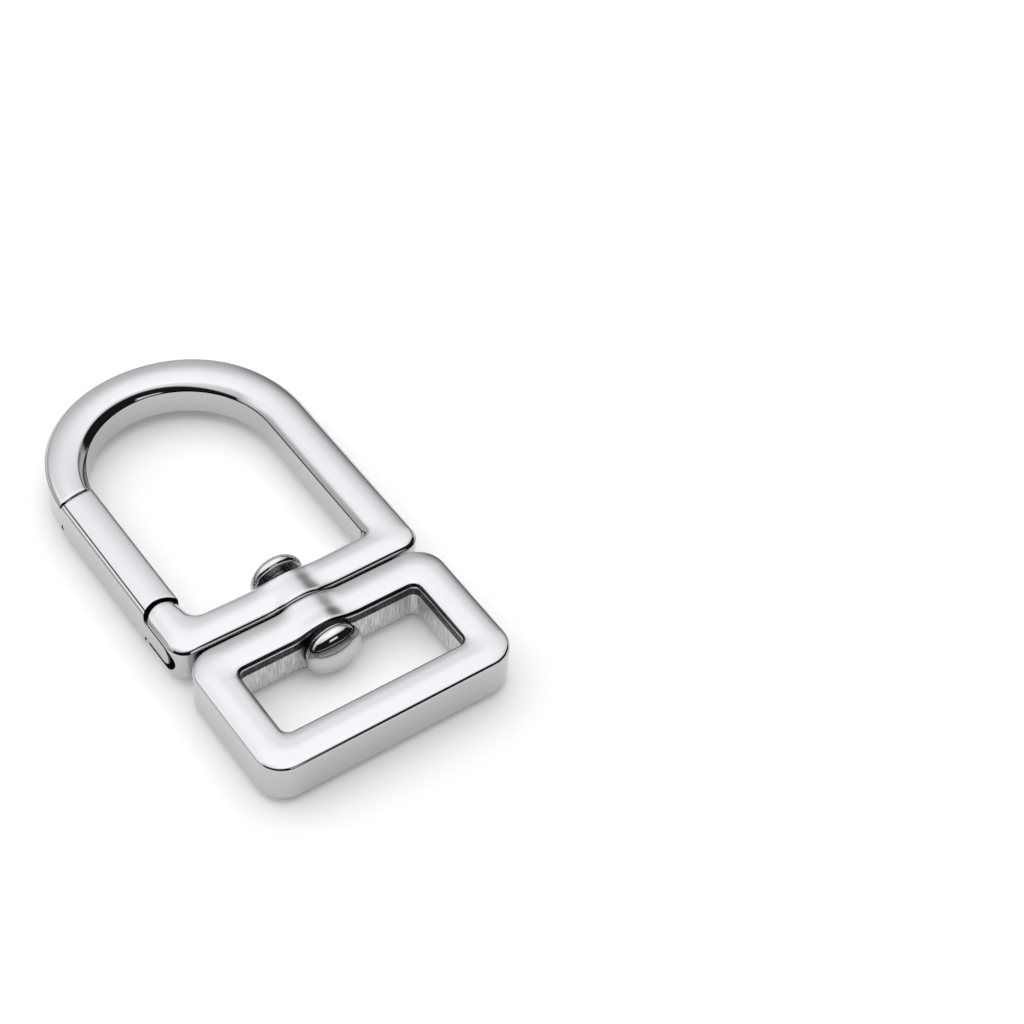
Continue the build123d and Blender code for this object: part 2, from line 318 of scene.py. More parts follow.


# Edge with a slightly rounded bevel between the wall and the crown, with dark lines of reflection painted at
# its foot and its top
def bevelEdge(size, sag, paintedFootLine, paintedTopLine, steps=8):
    def edge(crown, slope):
        base = crown(size) - size
        rows = wallRows(base, guard=0.03)
        low, high = paintedFootLine / size, 1 - paintedTopLine / size
        shares = np.concatenate([[0], np.linspace(low, high, steps)] + ([[1]] if paintedTopLine else []))
        for share in shares:
            bow = sag * 4 * share * (1 - share) * math.sqrt(0.5)
            onPaintedLine = 0 < share <= low or (paintedTopLine and share == 1)
            finish = paintedDarkLine if onPaintedLine else polished
            rows.append((size * share - bow, base + size * share + bow, finish))
        return rows
    return edge


# Edge with a small round between the wall and the crown, painted dark between two angles of its slope as a
# dark reflection
def roundEdge(radius, paintedLineDegrees=(0, 0), steps=12):
    def edge(crown, slope):
        run = radius * (1 - math.sin(slope))
        centre = crown(run) - radius * math.cos(slope)
        rows = wallRows(centre, guard=0.04)
        for angle in np.linspace(180, 90 + math.degrees(slope), steps):
            turn = math.radians(angle)
            finish = paintedDarkLine if paintedLineDegrees[0] < angle - 90 < paintedLineDegrees[1] else polished
            rows.append((radius + radius * math.cos(turn), centre + radius * math.sin(turn), finish))
        return rows
    return edge


# Edge of the strap slot: a rough wall, a drafted band above it painted near-black as shade, and a polished
# roll with a painted dark line of reflection
def slotEdge(parting, draft, radius, paintedLineDegrees, steps=15):
    def edge(crown, slope):
        lean = math.radians(draft)
        run = radius
        for attempt in range(20):  # the run and the height of the roll settle on each other
            lift = crown(run) - radius * math.cos(slope) + radius * math.sin(lean) - parting
            run = lift * math.tan(lean) + radius * math.cos(lean) - radius * math.sin(slope)
        start = lift * math.tan(lean)
        centre = (start + radius * math.cos(lean), crown(run) - radius * math.cos(slope))
        rows = [(0.0, 0.0, roughWall), (0.0, parting / 2, roughWall), (0.0, parting, roughWall)]
        bandShares = (0.03, 0.5, 0.97)
        for share in bandShares:
            rows.append((start * share, parting + lift * share, paintedBandShade))
        for angle in np.linspace(math.pi - lean, math.pi / 2 + slope, steps):
            finish = paintedDarkLine if paintedLineDegrees[0] < math.degrees(angle) - 90 < paintedLineDegrees[1] else polished
            rows.append((centre[0] + radius * math.cos(angle), centre[1] + radius * math.sin(angle), finish))
        return rows
    return edge


# Bar swept from station to station. Bend moves each station's points along y, as a function of their x;
# lift raises the top, as a function of the points' place and of their share across the bar;
# the ends' counts say how many rows of the top are painted dark as seam shade at each end, and caps are the
# end faces' finishes, painted gap shade where they face a gap.
def sweptBar(
        name, section, inner, outer, closed=False, bend=None, lift=None, paintedShadeEnds=(0, 0),
        caps=(polished, polished)):
    points = section["points"]
    offsets, shares, heights, weights = [np.array([p[k] for p in points]) for k in range(4)]
    finishes = [p[4] for p in points]
    span = outer - inner
    width = np.linalg.norm(span, axis=1)
    away = offsets[None, :] + shares[None, :] * (width[:, None] - section["run"])
    place = inner[:, None, :] + span[:, None, :] * (away / width[:, None])[:, :, None]
    if bend is not None:
        place = bend(place)
    top = np.repeat(heights[None, :], len(inner), axis=0)
    if lift is not None:
        top = top + weights[None, :] * lift(place, away / width[:, None])
    upper = np.dstack([place, midZ + top])
    lower = np.dstack([place, midZ - top])[:, ::-1][:, 1:-1]
    rings = np.concatenate([upper, lower], axis=1)
    count, around = rings.shape[:2]
    half = len(points)
    # The band painted dark as shade is on the upper side alone
    under = [roughWall if finish == paintedBandShade else finish for finish in finishes]
    ringFinishes = finishes[1:] + under[1:][::-1]
    topFrom = 0.8  # weight from which a row counts as the top
    tops = [weight > topFrom for weight in weights]
    ringTops = tops[1:] + tops[1:][::-1]
    faces, faceFinishes = [], []
    for station in range(count if closed else count - 1):
        after = (station + 1) % count
        for k in range(around):
            n = (k + 1) % around
            faces.append((station * around + k, station * around + n, after * around + n, after * around + k))
            # Rows of the top at a gapped end are painted dark as shade of the seam
            inGap = not closed and (station < paintedShadeEnds[0] or count - 2 - station < paintedShadeEnds[1])
            faceFinishes.append(paintedGapShade if inGap and ringTops[k] else ringFinishes[k])
    if not closed:
        for station, cap in zip((0, count - 1), caps):
            for k in range(half - 1):
                a, b = station * around + k, station * around + k + 1
                c, d = station * around + (around - k - 1) % around, station * around + (around - k) % around
                corners = [a, b, c, d]
                if k == 0:
                    corners = [a, b, c]
                if k == half - 2:
                    corners = [a, b, d]
                faces.append(tuple(corners))
                faceFinishes.append(cap)
    return makePiece(name, rings.reshape(-1, 3), faces, finishesAndPaintedShade, faceFinishes)


# Object from points and faces, with its normals outwards and its creases kept sharp
def makePiece(name, points, faces, finishes, faceFinishes):
    mesh = bpy.data.meshes.new(name)
    mesh.from_pydata((np.asarray(points) / metre).tolist(), [], faces)
    for finish in finishes:
        mesh.materials.append(finish)
    mesh.polygons.foreach_set("material_index", faceFinishes)
    piece = bpy.data.objects.new(name, mesh)
    bpy.context.scene.collection.objects.link(piece)
    smoothByAngle(piece)
    return piece


# Smooth faces, with edges sharper than an angle kept sharp
def smoothByAngle(piece, sharpDegrees=33):
    work = bmesh.new()
    work.from_mesh(piece.data)
    bmesh.ops.recalc_face_normals(work, faces=work.faces)
    for face in work.faces:
        face.smooth = True
    for edge in work.edges:
        if len(edge.link_faces) == 2:
            edge.smooth = edge.calc_face_angle(0) < math.radians(sharpDegrees)
    work.to_mesh(piece.data)
    work.free()


# Slab with one round end, lying along y, its outer edge rounded in.
# The finishes are those of its faces and of its edge.
def roundEndedSlab(name, settings, finishes, roundSteps=33, edgeSteps=6):
    half, endY, topY = settings["halfHeight"], settings["endY"], settings["topY"]
    small = settings["edgeRound"]
    layers = []
    for angle in np.linspace(math.pi / 2, 0, edgeSteps):
        layers.append((settings["outerX"] + small * (1 - math.sin(angle)), small * (1 - math.cos(angle))))
    layers.append((settings["innerX"], 0.0))
    points = []
    for x, inset in layers:
        outline = arcPoints((endY + half, 0), half - inset, 270, 90, roundSteps)
        outline = np.concatenate([outline, [[topY, half - inset], [topY, inset - half]]])
        points += [(x, y, midZ + z) for y, z in outline]
    count = len(outline)
    faces = [tuple(range(count)), tuple(range(len(points) - count, len(points)))]
    for row in range(len(layers) - 1):
        for k in range(count):
            n = (k + 1) % count
            faces.append((row * count + k, row * count + n, (row + 1) * count + n, (row + 1) * count + k))
    return makePiece(name, points, faces, finishes, [0, 0] + [1] * (len(faces) - 2))


# Turned piece about the swivel axis, from its half outline of place along y, radius and finish
def turnedPiece(name, outline, finishes, steps=128):
    points, faces, faceFinishes = [], [], []
    for y, radius, finish in outline:
        for k in range(steps):
            angle = 2 * math.pi * k / steps
            points.append((radius * math.cos(angle), y, midZ + radius * math.sin(angle)))
    for row in range(len(outline) - 1):
        for k in range(steps):
            n = (k + 1) % steps
            faces.append((row * steps + k, row * steps + n, (row + 1) * steps + n, (row + 1) * steps + k))
            faceFinishes.append(outline[row + 1][2])
    last = (len(outline) - 1) * steps
    faces += [tuple(range(steps)), tuple(range(last, last + steps))]
    faceFinishes += [outline[0][2], outline[-1][2]]
    return makePiece(name, points, faces, finishes, faceFinishes)


# Cut another piece out of a piece, or join it on, and drop that other piece
def combine(piece, other, operation):
    modifier = piece.modifiers.new("combine", "BOOLEAN")
    modifier.operation = operation
    modifier.solver = "EXACT"
    modifier.material_mode = "TRANSFER"
    modifier.object = other
    bpy.context.view_layer.update()
    shaped = bpy.data.meshes.new_from_object(piece.evaluated_get(bpy.context.evaluated_depsgraph_get()))
    piece.modifiers.clear()
    piece.data = shaped
    bpy.data.objects.remove(other)
    smoothByAngle(piece)


# The swell of both cross bars over the rivet
swellSettings = {
    "height": 0.46, "left": 4.2, "right": 2.4, "lean": 0.3, "level": (1.4, 3.6), "stepFlatShare": 0.6,
    "reach": 4.4, "steps": 81,
}


# Height that the boss about the rivet lifts a bar's top: a soft swell that is steeper on its right,
# level across the bar but for a lean towards the near side
def bossLift(x, share, settings):
    reach = np.where(x < 0, swellSettings["left"], swellSettings["right"])
    swell = np.cos(np.clip(np.abs(x) / reach, 0, 1) * math.pi / 2) ** 2
    height = swellSettings["height"] * (1 - swellSettings["lean"] * np.abs(share - settings["nearShare"]))
    level = 1 - smoothStep(*swellSettings["level"], np.abs(x))
    return height * swell + settings["crownDrop"] * level * (2 * share - 1) ** 2


# Share of the boss's step along y
def stepShare(x, settings):
    return 1 - smoothStep(swellSettings["stepFlatShare"], 1.0, np.abs(x) / settings["bossRadius"])


# Places along a cross bar, close together round the boss
def crossBarPlaces(start, end, sideSteps=10):
    first, last = [math.copysign(swellSettings["reach"], side) for side in (start, end)]
    runs = [linePoints([start], [first], sideSteps)]
    runs.append(linePoints([first], [last], swellSettings["steps"]))
    runs.append(linePoints([last], [end], sideSteps))
    return joinRuns(runs)[:, 0]


# Strap loop: a closed ring round the slot
loopSettings = {
    "width": 3.9, "thickness": 5.2, "crownDrop": 0.32, "crownSteps": 19,
    "innerEdge": slotEdge(parting=1.0, draft=4.0, radius=0.6, paintedLineDegrees=(36, 68)),
    "outerEdge": roundEdge(radius=0.5),
    "trackOffset": 1.5, "trackHalf": 0.42, "trackDepth": 0.018, "slotRadius": 0.8, "outerRadius": 3.0,
    "bossRadius": 3.0, "nearShare": 0.0, "cornerSteps": 17, "sideSteps": 12, "frontSteps": 24,
    "padRadius": 2.78, "padProud": 0.5, "padRound": 0.08, "padRoot": 0.25, "padSteps": 5,
}


# Rounded rectangle, from the left end of the cross bar clockwise
def ringOutline(half, radius, centreY, barPlaces, settings):
    x, y = half[0] - radius, half[1] - radius
    cornerSteps, sideSteps = settings["cornerSteps"], settings["sideSteps"]
    runs = [np.column_stack([barPlaces, np.full(len(barPlaces), half[1])])]
    runs.append(arcPoints((x, y), radius, 90, 0, cornerSteps))
    runs.append(linePoints((half[0], y), (half[0], -y), sideSteps))
    runs.append(arcPoints((x, -y), radius, 0, -90, cornerSteps))
    runs.append(linePoints((x, -half[1]), (-x, -half[1]), settings["frontSteps"]))
    runs.append(arcPoints((-x, -y), radius, -90, -180, cornerSteps))
    runs.append(linePoints((-half[0], -y), (-half[0], y), sideSteps))
    runs.append(arcPoints((-x, y), radius, 180, 90, cornerSteps))
    return joinRuns(runs)[:-1] + [0, centreY]


def buildLoop(settings):
    topY = loopHigh[1] - bossStep
    outerHalf = (loopHigh[0], (topY - loopLow[1]) / 2)
    slotHalf = (outerHalf[0] - settings["width"], outerHalf[1] - settings["width"])
    centreY = (topY + loopLow[1]) / 2
    slotX, outerX = slotHalf[0] - settings["slotRadius"], outerHalf[0] - settings["outerRadius"]
    innerPlaces = crossBarPlaces(-slotX, slotX)
    outerPlaces = crossBarPlaces(-outerX, outerX)
    inner = ringOutline(slotHalf, settings["slotRadius"], centreY, innerPlaces, settings)
    outer = ringOutline(outerHalf, settings["outerRadius"], centreY, outerPlaces, settings)
    bar = slice(0, len(innerPlaces))
    outer[bar, 1] += bossStep * stepShare(outer[bar, 0], settings)

    def lift(place, share):
        raised = bossLift(place[:, :, 0], share, settings)
        raised[len(innerPlaces):] = 0
        return raised

    loop = sweptBar("strapLoop", barSection(settings), inner, outer, closed=True, lift=lift)
    wallY, small, radius = centreY + slotHalf[1], settings["padRound"], settings["padRadius"]
    faceY = wallY - settings["padProud"]
    outline = [(faceY, radius - small, 0)]
    for angle in np.linspace(0, math.pi / 2, settings["padSteps"])[1:]:
        outline.append((faceY + small * (1 - math.cos(angle)), radius - small + small * math.sin(angle), 0))
    # The pad's root into the bar is painted dark as shade of the gap round the head
    outline.append((wallY + settings["padRoot"], radius, 1))
    combine(loop, turnedPiece("bossEnd", outline, [platedMetal, gapShadeMaterial]), "UNION")
    return loop


strapLoop = buildLoop(loopSettings)
print("stage: strap loop built")

# Hook: an open ring from the nose round the bow, along the cross bar and up to the hinge post
hookSettings = {
    "width": 4.3, "thickness": 4.6, "crownDrop": 0.36, "crownSteps": 23,
    "innerEdge": bevelEdge(size=0.75, sag=0.045, paintedFootLine=0.1, paintedTopLine=0),
    "outerEdge": bevelEdge(size=0.46, sag=0.05, paintedFootLine=0.05, paintedTopLine=0),
    "trackOffset": 1.6, "trackHalf": 0.45, "trackDepth": 0.01,
    "bowWidth": 4.25, "bowShoulder": 0.2, "crossBar": 4.0,
    "cornerRadius": 2.0, "eyeCorner": 1.0, "postCorner": 1.5, "bossRadius": 2.8, "nearShare": 1.0,
    "noseInnerY": 13.65, "noseOuterY": 13.2, "noseRound": 0.34, "noseSettleShare": 0.2,
    "postRadius": 2.2, "postRound": 0.1, "bowSteps": 150, "barSteps": 30, "cornerSteps": 19, "postSteps": 8,
}


tipRows, hingeRows = 9, 6  # stations along the round of a tip, and of an end at the hinge


# Distances from an end that follow a round of a radius
def endSteps(radius, count):
    return radius * (1 - np.cos(np.linspace(0, math.pi / 2, count)))


# How far the round lowers the top at those distances
def endDrop(radius, away):
    reach = np.clip(radius - away, 0, radius)
    return radius - np.sqrt(radius ** 2 - reach ** 2)


def buildHook(settings):
    outerR = hookHigh[0]
    arcY, baseY = hookHigh[1] - outerR, hookLow[1] + bossStep
    eyeY, gateX = baseY + settings["crossBar"], gateHigh[0]
    rightX = outerR - settings["width"]
    eyeR, eyeX = (rightX - gateX) / 2, (rightX + gateX) / 2
    eyeArcY = hookHigh[1] - settings["bowWidth"] - eyeR
    corner, eyeCorner, postCorner = settings["cornerRadius"], settings["eyeCorner"], settings["postCorner"]
    postR, cornerSteps, barSteps = settings["postRadius"], settings["cornerSteps"], settings["barSteps"]
    noseAway = endSteps(settings["noseRound"], tipRows)
    innerNoseY, outerNoseY = settings["noseInnerY"] + noseAway, settings["noseOuterY"] + noseAway
    noseInner = np.column_stack([eyeX - np.sqrt(eyeR ** 2 - (innerNoseY - eyeArcY) ** 2), innerNoseY])
    noseOuter = np.column_stack([-np.sqrt(outerR ** 2 - (outerNoseY - arcY) ** 2), outerNoseY])
    innerStart = math.degrees(math.atan2(noseInner[-1][1] - eyeArcY, noseInner[-1][0] - eyeX))
    outerStart = math.degrees(math.atan2(noseOuter[-1][1] - arcY, noseOuter[-1][0]))
    bowShare = np.linspace(0, 1, settings["bowSteps"])
    settle = 1 - smoothStep(0, settings["noseSettleShare"], bowShare)
    middle = (innerStart + outerStart) / 2
    bowAngle = middle * (1 - bowShare)
    innerBow = np.radians(bowAngle + (innerStart - middle) * settle)
    outerBow = np.radians(bowAngle + (outerStart - middle) * settle)
    shoulderR = outerR + settings["bowShoulder"] * np.sin(2 * outerBow) ** 2
    barInner = crossBarPlaces(rightX - eyeCorner, gateX + postCorner)
    barOuter = crossBarPlaces(outerR - corner, corner - outerR)
    inner = [noseInner, np.column_stack([eyeX + eyeR * np.cos(innerBow), eyeArcY + eyeR * np.sin(innerBow)])]
    outer = [noseOuter, np.column_stack([shoulderR * np.cos(outerBow), arcY + shoulderR * np.sin(outerBow)])]
    inner.append(linePoints((rightX, eyeArcY), (rightX, eyeY + eyeCorner), barSteps))
    outer.append(linePoints((outerR, arcY), (outerR, baseY + corner), barSteps))
    inner.append(arcPoints((rightX - eyeCorner, eyeY + eyeCorner), eyeCorner, 0, -90, cornerSteps))
    outer.append(arcPoints((outerR - corner, baseY + corner), corner, 0, -90, cornerSteps))
    before = len(joinRuns(inner)) - 1
    inner.append(np.column_stack([barInner, np.full(len(barInner), eyeY)]))
    outer.append(np.column_stack([barOuter, np.full(len(barOuter), baseY)]))
    after = len(joinRuns(inner))
    inner.append(arcPoints((gateX + postCorner, eyeY + postCorner), postCorner, -90, -180, cornerSteps))
    outer.append(arcPoints((corner - outerR, baseY + corner), corner, -90, -180, cornerSteps))
    endY = [pinY + math.sqrt(postR ** 2 - (x - pinX) ** 2) for x in (gateX, -outerR)]
    postAway = endSteps(settings["postRound"], hingeRows)[::-1]
    posts = []
    for startY, stopY in ((eyeY + postCorner, endY[0]), (baseY + corner, endY[1])):
        run = linePoints([startY], [stopY - settings["postRound"]], settings["postSteps"])[1:, 0]
        posts.append(np.concatenate([run, stopY - postAway[1:]]))
    innerStack, outerStack = joinRuns(inner), joinRuns(outer)
    postFrom = len(innerStack)
    innerStack = np.concatenate([innerStack, np.column_stack([np.full(len(posts[0]), gateX), posts[0]])])
    outerStack = np.concatenate([outerStack, np.column_stack([np.full(len(posts[1]), -outerR), posts[1]])])
    bar = slice(before, after)
    outerStack[bar, 1] -= bossStep * stepShare(outerStack[bar, 0], settings)
    bulge = np.zeros(len(innerStack))
    bulgeFrom = postFrom - hingeRows
    bulge[bulgeFrom:] = smoothStep(0, 1, np.linspace(0, 1, len(innerStack) - bulgeFrom))
    bulge[-hingeRows:] = 1

    def bend(place):
        x = np.clip(place[:, :, 0] - pinX, -postR, postR)
        flat = min(endY) - pinY
        place[:, :, 1] += bulge[:, None] * np.clip(np.sqrt(postR ** 2 - x ** 2) - flat, 0, None)
        return place

    drop = np.zeros(len(innerStack))
    drop[:len(noseAway)] = endDrop(settings["noseRound"], noseAway)
    drop[-len(postAway):] = endDrop(settings["postRound"], postAway)

    def lift(place, share):
        raised = bossLift(place[:, :, 0], share, settings)
        raised[:before] = 0
        raised[after:] = 0
        return raised - drop[:, None]

    # The nose's first rows and the hinge end are painted dark as seam and gap shade
    ends = {"paintedShadeEnds": (3, 0), "caps": (polished, paintedGapShade)}
    return sweptBar("hookFrame", barSection(settings), innerStack, outerStack, bend=bend, lift=lift, **ends)


hookFrame = buildHook(hookSettings)

# Slot of the gate's tongue in the post, open inwards, with room below the tongue and for its swing
slotOverrun, tongueRoom = 0.1, 0.7
tongueSlot = {
    "halfHeight": 1.45, "endY": gateLow[1] - tongueRoom, "topY": -1.0, "edgeRound": 0.0,
    "outerX": -15.0, "innerX": gateHigh[0] + slotOverrun, "swingRadius": 2.85, "swingSegments": 96,
}


# Cutter whose cut faces are painted dark as shade, from one of the mesh maker's plain shapes
def shadePaintedCutter(name, makeShape, **sizes):
    mesh = bpy.data.meshes.new(name)
    work = bmesh.new()
    makeShape(work, **sizes)
    work.to_mesh(mesh)
    work.free()
    mesh.materials.append(gapShadeMaterial)
    piece = bpy.data.objects.new(name, mesh)
    bpy.context.scene.collection.objects.link(piece)
    return piece


# Disc about the hinge pin
def pinDisc(name, settings):
    size = settings["swingRadius"] / metre
    return shadePaintedCutter(
        name, bmesh.ops.create_cone, cap_ends=True, segments=settings["swingSegments"],
        radius1=size, radius2=size, depth=2 * settings["halfHeight"] / metre,
        matrix=Matrix.Translation(Vector((pinX, pinY, midZ)) / metre))


# The slot and the swing room are cut with faces painted dark as shade
combine(hookFrame, roundEndedSlab("slotCutter", tongueSlot, [gapShadeMaterial, gapShadeMaterial]), "DIFFERENCE")
combine(hookFrame, pinDisc("swingRoom", tongueSlot), "DIFFERENCE")
print("stage: hook frame built")

# Gate: a straight bar with a hollow shoulder round the post and a tongue in the post's slot
gateSettings = {
    "width": 3.8, "thickness": 4.6, "crownDrop": 0.24, "crownSteps": 21,
    "innerEdge": roundEdge(radius=0.34, paintedLineDegrees=(30, 72)),
    "outerEdge": bevelEdge(size=0.28, sag=0.03, paintedFootLine=0.06, paintedTopLine=0.05),
    "trackOffset": 1.3, "trackHalf": 0.5, "trackDepth": 0.0, "wallInset": 0.004,
    "tipInnerY": 13.6, "tipOuterY": 13.16, "tipRound": 0.3, "shoulderRadius": 2.7, "shoulderRound": 0.1,
    "footRow": 0.3, "tipRow": 0.5, "hollowFade": (0.2, 6.0), "barSteps": 40,
}


def buildGate(settings):
    reach = settings["shoulderRadius"]
    innerX, outerX = gateHigh[0], gateLow[0] + settings["wallInset"]
    footY = pinY + math.sqrt(reach ** 2 - (innerX - pinX) ** 2)
    shoulderAway = endSteps(settings["shoulderRound"], hingeRows)
    tipAway = endSteps(settings["tipRound"], tipRows)[::-1]
    rows = []
    for tipY in (settings["tipInnerY"], settings["tipOuterY"]):
        start, end = footY + settings["footRow"], tipY - settings["tipRow"]
        middle = linePoints([start], [end], settings["barSteps"])[:, 0]
        rows.append(np.concatenate([footY + shoulderAway, middle, tipY - tipAway]))
    inner = np.column_stack([np.full(len(rows[0]), innerX), rows[0]])
    outer = np.column_stack([np.full(len(rows[1]), outerX), rows[1]])
    fadeFrom, fadeTo = settings["hollowFade"]
    hollow = 1 - smoothStep(footY + fadeFrom, footY + fadeTo, rows[0])

    def bend(place):
        x = np.clip(place[:, :, 0] - pinX, -reach, reach)
        place[:, :, 1] += hollow[:, None] * np.clip(pinY + np.sqrt(reach ** 2 - x ** 2) - footY, 0, None)
        return place

    drop = np.zeros(len(rows[0]))
    drop[:len(shoulderAway)] = endDrop(settings["shoulderRound"], shoulderAway)
    drop[-len(tipAway):] = endDrop(settings["tipRound"], tipAway)

    def lift(place, share):
        return np.repeat(-drop[:, None], place.shape[1], axis=1)

    # The shoulder end at the hinge and the tip's last rows are painted dark as gap and seam shade
    ends = {"paintedShadeEnds": (0, 3), "caps": (paintedGapShade, polished)}
    return sweptBar("gateBar", barSection(settings), inner, outer, bend=bend, lift=lift, **ends)


gateBar = buildGate(gateSettings)
tongueInset = 0.02  # the tongue's inner face is this far behind the bar's
tongueSettings = {
    "halfHeight": 1.2, "endY": gateLow[1], "topY": -3.1, "edgeRound": 0.14,
    "outerX": gateLow[0], "innerX": gateHigh[0] - tongueInset,
}
# The tongue's rounded edge is painted as a dark line of shade
combine(gateBar, roundEndedSlab("gateTongue", tongueSettings, [platedMetal, paintedEdgeLineMetal]), "UNION")

# Small hollows at the seam, their faces painted dark as shade: one in the outer top corner and one low on the
# wall
seamHollows = (
    {"place": (gateLow[0] + 0.1, 13.18, midZ + 2.15), "radii": (0.75, 0.26, 0.5)},
    {"place": (gateLow[0] - 0.02, 13.1, 1.95), "radii": (0.4, 0.24, 0.34)},
)


def ellipsoid(name, settings):
    shape = Matrix.LocRotScale(Vector(settings["place"]) / metre, None, Vector(settings["radii"]) / metre)
    return shadePaintedCutter(name, bmesh.ops.create_uvsphere, u_segments=24, v_segments=16, radius=1.0, matrix=shape)


for hollow in seamHollows:
    for piece in (hookFrame, gateBar):
        combine(piece, ellipsoid("hollow", hollow), "DIFFERENCE")
print("stage: gate built")

# Rivet: two domed heads on one shank
rivetSettings = {
    "shankRadius": 1.5, "shankRoot": 0.05, "headHeight": 1.95, "backRound": 0.45, "eyeRadius": 2.88,
    "eyeFloat": 0.2, "backSteps": 8, "domeSteps": 26, "apexGap": 0.01,
}


# Half outline of a head, from the shank's root to the apex
def headOutline(apexY, side, radius, settings):
    small = settings["backRound"]
    back = apexY - side * settings["headHeight"]
    rows = [(back, settings["shankRadius"] + settings["shankRoot"], 1), (back, radius - small, 1)]
    for angle in np.linspace(0, math.pi / 2, settings["backSteps"])[1:]:
        away, reach = small * (1 - math.cos(angle)), radius - small + small * math.sin(angle)
        rows.append((back + side * away, reach, 0))
    height = settings["headHeight"] - small
    for angle in np.linspace(0, math.pi / 2 - settings["apexGap"], settings["domeSteps"])[1:]:
        rows.append((apexY - side * height * (1 - math.sin(angle)), radius * math.cos(angle), 0))
    return rows


def buildRivet(settings):
    slotHead = headOutline(rivetLow[1], -1, rivetHigh[0], settings)
    eyeHead = headOutline(rivetHigh[1] - settings["eyeFloat"], 1, settings["eyeRadius"], settings)
    shank, root = settings["shankRadius"], settings["shankRoot"]
    between = [(slotHead[0][0] + root, shank, 0), (eyeHead[0][0] - root, shank, 0)]
    outline = slotHead[::-1] + between + eyeHead
    return turnedPiece("swivelRivet", outline, [rivetMetal, headBack])


swivelRivet = buildRivet(rivetSettings)
print("stage: rivet built")

for piece, body, node, slotName in (
    (hookFrame, "hook", "hook_frame", "plated_casting"),
    (gateBar, "gate", "gate", "plated_casting"),
    (strapLoop, "loop", "strap_loop", "plated_casting"),
    (swivelRivet, "loop", "swivel_rivet", "turned_rivet"),
):
    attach(piece, body)
    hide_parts(node)
for node, material in (("gate_hinge_pin", pinMetal), ("gate_spring", springMetal)):
    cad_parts[node].data.materials.clear()
    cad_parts[node].data.materials.append(material)
print("stage: pieces ride on their bodies")

# Studio: a pale floor under a soft tent, which is brighter above than at the horizon and has five patches:
# a bright back wall, a glow on the left, a dark patch at the back right, and a black card in front
# with a pale strip. A patch fades in over each of its ranges, from the first number to the second:
# side, in cosines of the angle from its azimuth, height and upper, both in sines of the elevation.
studio = {
    "floorColor": (0.9, 0.905, 0.905), "floorSize": 3.0, "floorLift": 0.12, "floorRoughness": 0.8,
    "floorGloss": 0.1, "grainScale": 60.0, "grainShade": 0.99, "tentStrength": 5.0,
    "tentStops": (
        (0.0, 0.13), (0.12, 0.135), (0.2, 0.14), (0.34, 0.155), (0.5, 0.18), (0.74, 0.225), (0.87, 0.3),
        (0.94, 0.35), (0.985, 0.37),
    ),
    "patches": (
        {"azimuth": 60.0, "side": (0.55, 1.0), "height": (0.5, 0.95), "color": (0.35, 0.35, 0.353)},
        {"azimuth": 136.0, "side": (0.75, 0.97), "height": (0.3, 0.55), "color": (0.32, 0.32, 0.32)},
        {
            "azimuth": 30.0, "side": (0.86, 0.98), "height": (0.12, 0.3), "upper": (0.64, 0.36),
            "color": (0.03, 0.03, 0.03),
        },
        {
            "azimuth": -88.0, "side": (-0.1, 0.05), "height": (0.8, 0.73), "slope": 0.25,
            "color": (0.003, 0.003, 0.0035),
        },
        {
            "azimuth": -84.0, "side": (0.96, 0.985), "height": (0.32, 0.37), "upper": (0.55, 0.5),
            "color": (0.24, 0.24, 0.24),
        },
    ),
}


def buildFloor(settings):
    mesh = bpy.data.meshes.new("floor")
    size = settings["floorSize"]
    corners = [(-size, -size, 0), (size, -size, 0), (size, size, 0), (-size, size, 0)]
    mesh.from_pydata(corners, [], [(0, 1, 2, 3)])
    floor = bpy.data.objects.new("floor", mesh)
    bpy.context.scene.collection.objects.link(floor)
    material, nodes, links, shader = newMaterial("floorPaper")
    shader.inputs["Metallic"].default_value = 0.0
    shader.inputs["Roughness"].default_value = settings["floorRoughness"]
    shader.inputs["Specular IOR Level"].default_value = settings["floorGloss"]
    grain = nodes.new("ShaderNodeTexNoise")
    grain.inputs["Scale"].default_value = settings["grainScale"]
    tone = nodes.new("ShaderNodeMix")
    tone.data_type = "RGBA"
    tone.inputs["A"].default_value = (*settings["floorColor"], 1)
    tone.inputs["B"].default_value = (*[c * settings["grainShade"] for c in settings["floorColor"]], 1)
    links.new(grain.outputs["Fac"], tone.inputs["Factor"])
    links.new(tone.outputs["Result"], shader.inputs["Base Color"])
    path = nodes.new("ShaderNodeLightPath")  # the floor is lifted to white as seen and as mirrored
    seen = path.outputs["Is Camera Ray"]
    for ray in ("Is Glossy Ray", "Is Transmission Ray"):
        either = nodes.new("ShaderNodeMath")
        either.operation = "MAXIMUM"
        links.new(seen, either.inputs[0])
        links.new(path.outputs[ray], either.inputs[1])
        seen = either.outputs["Value"]
    lift = nodes.new("ShaderNodeMath")
    lift.operation = "MULTIPLY"
    lift.inputs[1].default_value = settings["floorLift"]
    links.new(seen, lift.inputs[0])
    shader.inputs["Emission Color"].default_value = (1, 1, 1, 1)
    links.new(lift.outputs["Value"], shader.inputs["Emission Strength"])
    mesh.materials.append(material)


